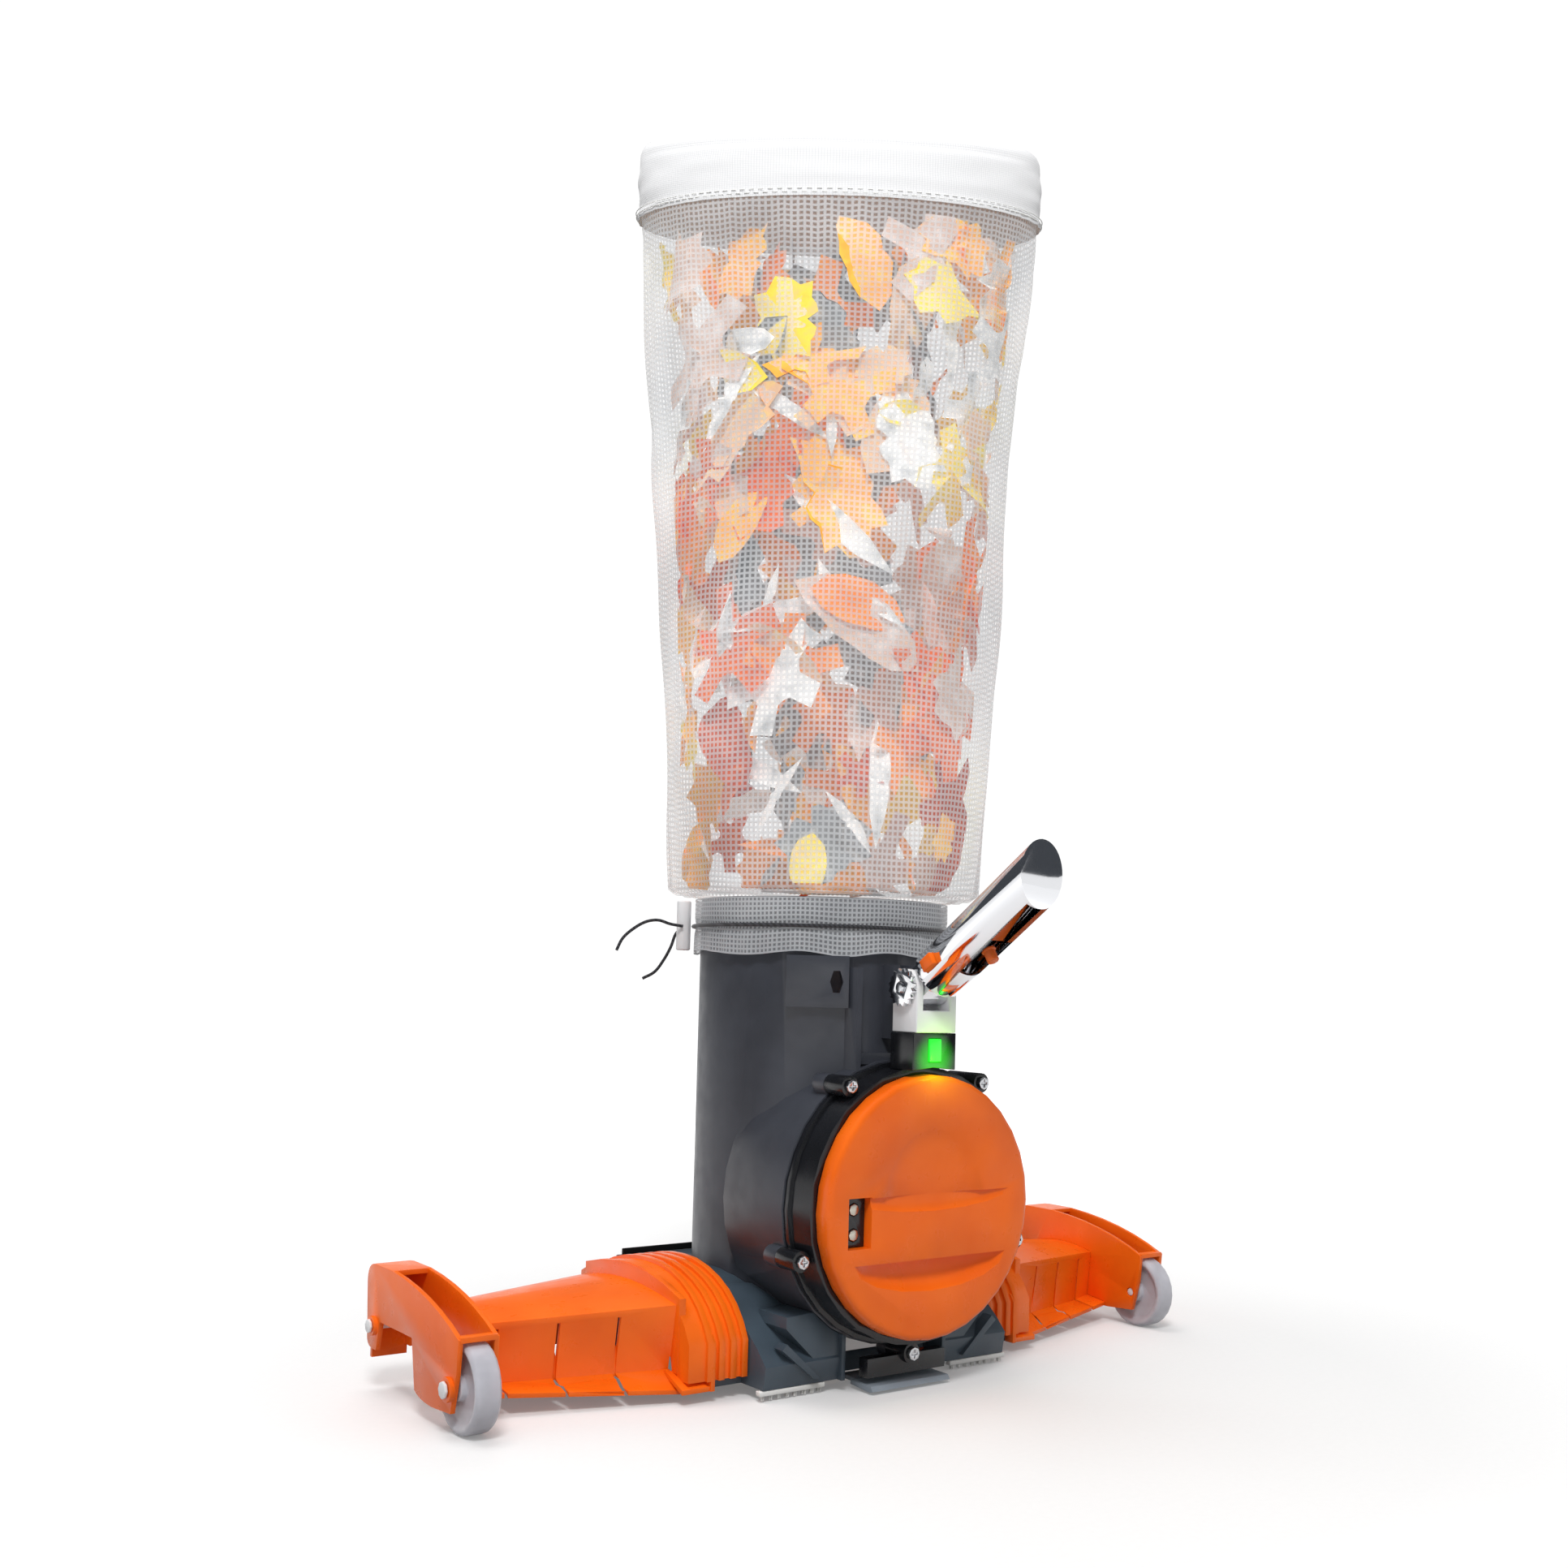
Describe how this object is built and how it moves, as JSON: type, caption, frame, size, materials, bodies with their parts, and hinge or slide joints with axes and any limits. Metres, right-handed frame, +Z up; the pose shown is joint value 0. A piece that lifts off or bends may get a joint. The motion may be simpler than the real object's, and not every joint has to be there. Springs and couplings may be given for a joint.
{
  "type": "cordless pool leaf vacuum head with leaf bag",
  "caption": "Cordless pool leaf vacuum head with a mesh leaf bag on its suction tube, a round battery cover, winged hood on two wheels and a tilting pole socket.",
  "frame": {"origin": "on the floor, under the middle of the overall width and depth", "axes": "+Z up the suction tube and the leaf bag, -Y the way the battery cover and the pole handle face, +X along the wheel axles to the right wheel as seen from the rear"},
  "size_m": [0.495, 0.2646, 0.717],
  "materials": {
    "slate_plastic": "satin moulded slate blue-grey ABS",
    "charcoal_plastic": "satin moulded charcoal ABS",
    "black_plastic": "semi-gloss black ABS",
    "grey_skid": "light grey soft plastic skid lip",
    "orange_plastic": "glossy moulded orange ABS",
    "orange_clip": "orange acetal spring clip",
    "white_plastic": "white acetal",
    "yoke_plastic": "glossy white plastic, part metallised",
    "white_bristle": "white nylon bristle tufts",
    "wheel_plastic": "translucent milky white polypropylene",
    "rubber_seal": "black nitrile seal",
    "contact_metal": "nickel-plated charging contact",
    "steel_hardware": "stainless steel",
    "battery_wrap": "blue shrink-wrapped cell pack",
    "led_lens": "green light-pipe lens, lit",
    "bright_chrome": "bright chrome plating",
    "polished_tube": "mirror-polished tube",
    "bag_mesh": "fine grey-white polyester mesh",
    "white_band": "white woven top band",
    "cuff_fabric": "grey elastic cuff",
    "dark_cord": "dark braided cord"
  },
  "bodies": {
    "head": {"base_hood": "slate_plastic", "rear_edge_trim": "black_plastic", "front_skid": "grey_skid", "front_brush_left": "white_bristle", "front_brush_right": "white_bristle", "rear_brush": "white_bristle", "suction_tube": "charcoal_plastic", "jet_ring": "black_plastic", "motor_housing": "black_plastic", "cover_seal": "rubber_seal", "pump_motor": "steel_hardware", "impeller_casing": "black_plastic", "handle_neck": "black_plastic", "status_lens": "led_lens", "yoke": "yoke_plastic", "pivot_pin": "steel_hardware", "pivot_ratchet": "bright_chrome", "right_wing": "orange_plastic", "left_wing": "orange_plastic", "right_wheel_fork": "orange_plastic", "left_wheel_fork": "orange_plastic", "right_axle": "white_plastic", "left_axle": "white_plastic", "right_rear_pin": "white_plastic", "left_rear_pin": "white_plastic", "bag_body": "bag_mesh", "bag_top_band": "white_band", "bag_cuff": "cuff_fabric", "drawstring": "dark_cord", "cord_lock": "white_plastic", "string_tail_1": "dark_cord", "string_tail_2": "dark_cord", "housing_screw_1": "steel_hardware", "housing_screw_2": "steel_hardware", "housing_screw_3": "steel_hardware", "housing_screw_4": "steel_hardware", "housing_screw_5": "steel_hardware"},
    "battery_module": {"battery_cover": "orange_plastic", "charge_block": "black_plastic", "charge_contact_lower": "contact_metal", "charge_contact_upper": "contact_metal", "battery_pack": "battery_wrap"},
    "impeller": {"impeller": "white_plastic"},
    "right_wheel": {"right_wheel": "wheel_plastic"},
    "left_wheel": {"left_wheel": "wheel_plastic"},
    "handle": {"pole_handle": "polished_tube", "button_spring": "orange_clip"},
    "snap_button": {"snap_button": "orange_clip"},
    "tilt_lock_button": {"tilt_lock_button": "orange_plastic"}
  },
  "joints": [
    {"name": "battery_twist", "type": "hinge", "parent": "head", "child": "battery_module", "pos_m": [0, -0.04613, 0.098], "axis": [0, 1, 0], "range_deg": [0, 40]},
    {"name": "impeller_spin", "type": "hinge", "parent": "head", "child": "impeller", "pos_m": [0, -0.03533, 0.045], "axis": [1, 0, 0], "continuous": true},
    {"name": "right_wheel_spin", "type": "hinge", "parent": "head", "child": "right_wheel", "pos_m": [0.2332, 0.00387, 0.022], "axis": [1, 0, 0], "continuous": true},
    {"name": "left_wheel_spin", "type": "hinge", "parent": "head", "child": "left_wheel", "pos_m": [-0.2332, 0.00387, 0.022], "axis": [1, 0, 0], "continuous": true},
    {"name": "handle_tilt", "type": "hinge", "parent": "head", "child": "handle", "pos_m": [0, -0.04613, 0.214], "axis": [1, 0, 0], "range_deg": [-41, 44]},
    {"name": "snap_button_press", "type": "slide", "parent": "handle", "child": "snap_button", "axis": [0, 0.5592, 0.829], "range_m": [0, 0.0035], "stiffness_N_per_m": 400, "springref_m": -0.002},
    {"name": "tilt_lock_press", "type": "slide", "parent": "handle", "child": "tilt_lock_button", "axis": [1, 0, 0], "range_m": [0, 0.002], "stiffness_N_per_m": 400, "springref_m": -0.002}
  ]
}
